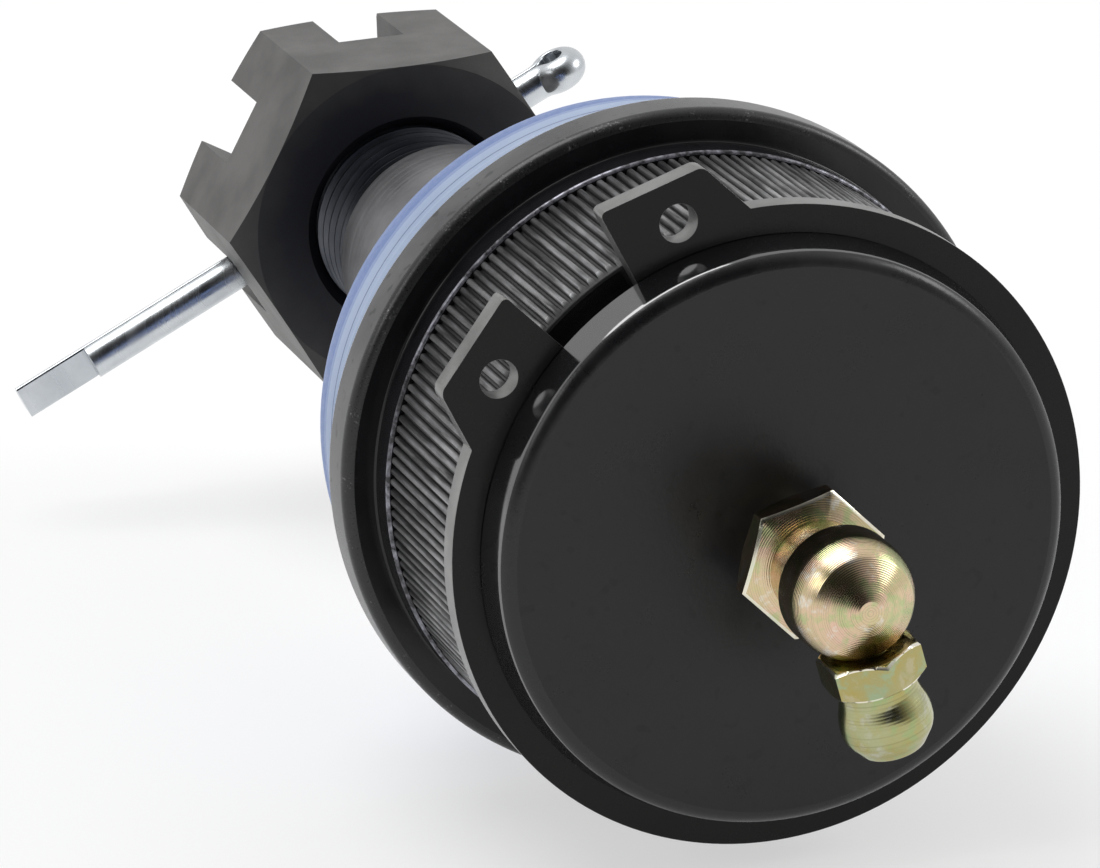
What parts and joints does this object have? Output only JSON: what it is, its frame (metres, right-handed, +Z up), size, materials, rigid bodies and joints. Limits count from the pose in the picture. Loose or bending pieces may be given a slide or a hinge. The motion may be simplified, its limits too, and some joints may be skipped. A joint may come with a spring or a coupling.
{
  "type": "suspension ball joint",
  "caption": "Press-in suspension ball joint: knurled flanged socket with snap ring and angled grease fitting, rubber boot, tapered stud with slotted nut and split pin.",
  "frame": {"origin": "centre of the ball, on the stud's axis", "axes": "+Y along the stud from the ball to the thread, +Z up with the part lying on its side as pictured, +X to the right seen from the closed end"},
  "size_m": [0.0564, 0.1188, 0.0525],
  "materials": {
    "socket_black": "satin black coating",
    "ring_black": "black oxide spring steel",
    "steel": "ground steel",
    "spring_steel": "drawn wire",
    "bearing": "moulded bearing plastic",
    "boot_rubber": "pale blue moulded rubber",
    "nut_black": "black phosphate",
    "zinc": "bright zinc",
    "yellow_chromate": "yellow chromate over zinc",
    "chrome_ball": "polished"
  },
  "bodies": {
    "socket": {"housing": "socket_black", "closure_ring": "steel", "upper_bearing": "bearing", "lower_bearing": "bearing", "preload_spring": "spring_steel", "retaining_ring": "ring_black", "grease_elbow": "yellow_chromate", "grease_nipple": "yellow_chromate", "check_spring": "spring_steel", "boot_base_ring": "spring_steel"},
    "boot": {"dust_boot": "boot_rubber"},
    "collar": {"boot_neck_ring": "spring_steel"},
    "stud": {"ball_stud": "steel", "castle_nut": "nut_black", "cotter_pin": "zinc"},
    "valve_ball": {"check_ball": "chrome_ball"}
  },
  "joints": [
    {"name": "tilt_x", "type": "hinge", "parent": "socket", "child": "boot", "pos_m": [0, 0, 0], "axis": [1, 0, 0], "range_deg": [-18, 18], "deforming": ["dust_boot"]},
    {"name": "tilt_z", "type": "hinge", "parent": "boot", "child": "collar", "pos_m": [0, 0, 0], "axis": [0, 0, 1], "range_deg": [-18, 18], "deforming": ["dust_boot"]},
    {"name": "spin", "type": "hinge", "parent": "collar", "child": "stud", "pos_m": [0, 0, 0], "axis": [0, 1, 0], "continuous": true},
    {"name": "check_valve", "type": "slide", "parent": "socket", "child": "valve_ball", "axis": [-0.2756, 0, 0.9613], "range_m": [0, 0.0008], "stiffness_N_per_m": 300, "springref_m": -0.001, "deforming": ["check_spring"]}
  ]
}
